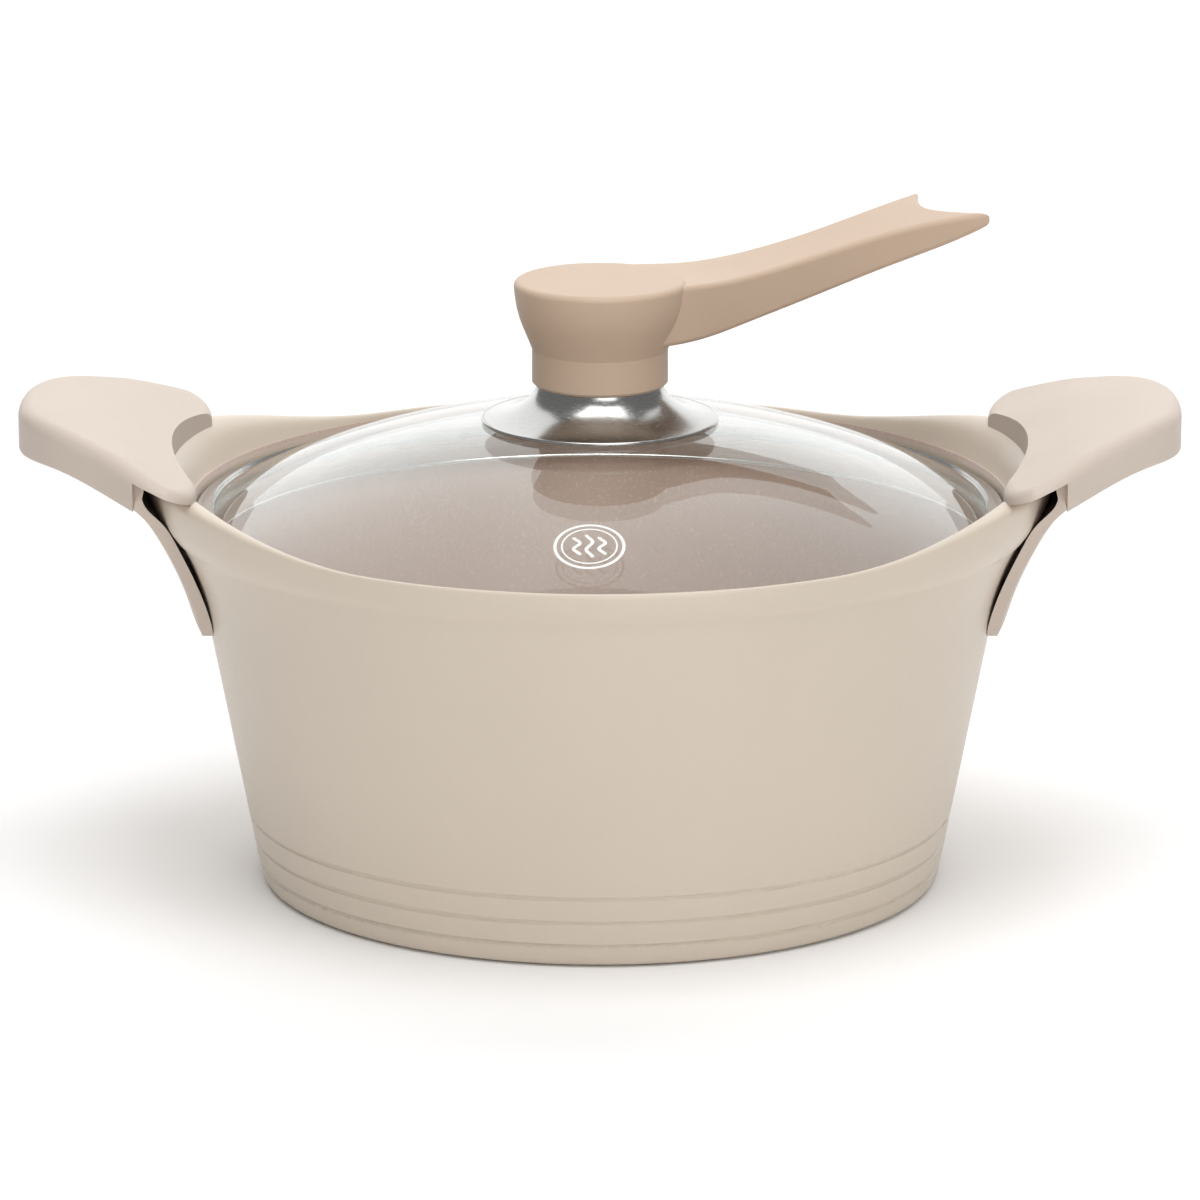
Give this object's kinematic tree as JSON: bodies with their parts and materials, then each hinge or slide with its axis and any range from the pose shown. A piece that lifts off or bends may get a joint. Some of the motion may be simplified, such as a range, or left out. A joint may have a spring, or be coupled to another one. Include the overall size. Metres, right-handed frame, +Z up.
{
  "type": "lidded casserole",
  "caption": "Round cast casserole with flared ears, wing-shaped side grips and a domed glass lid that lifts off by a knob with a fishtail arm.",
  "frame": {"origin": "centre of the flat underside, on the surface the pot stands on", "axes": "+X through the two side grips, +Z up along the pot's axis; the knob's arm points between +X and +Y"},
  "size_m": [0.342, 0.2466, 0.1888],
  "materials": {
    "pot_coating": "satin",
    "base_steel": "brushed",
    "grip_moulding": "satin",
    "bracket_moulding": "satin",
    "knob_moulding": "satin",
    "brass": "machined",
    "screw_steel": "machined",
    "glass": "polished",
    "band_steel": "satin",
    "polished_steel": "polished",
    "silicone": "matte"
  },
  "bodies": {
    "pot": {"pot_body": "pot_coating", "induction_base_plate": "base_steel", "left_handle_grip": "grip_moulding", "left_handle_bracket": "bracket_moulding", "left_handle_inserts": "brass", "left_handle_screws": "screw_steel", "left_handle_washers": "screw_steel", "right_handle_grip": "grip_moulding", "right_handle_bracket": "bracket_moulding", "right_handle_inserts": "brass", "right_handle_screws": "screw_steel", "right_handle_washers": "screw_steel"},
    "lid": {"lid_glass": "glass", "lid_rim_band": "band_steel", "knob_skirt": "polished_steel", "knob_handle": "knob_moulding", "knob_insert": "brass", "knob_screw": "screw_steel", "knob_washer": "screw_steel", "upper_gasket": "silicone", "lower_gasket": "silicone"}
  },
  "joints": [
    {"name": "lid_lift", "type": "slide", "parent": "pot", "child": "lid", "axis": [0, 0, 1], "range_m": [0, 0.12]}
  ]
}
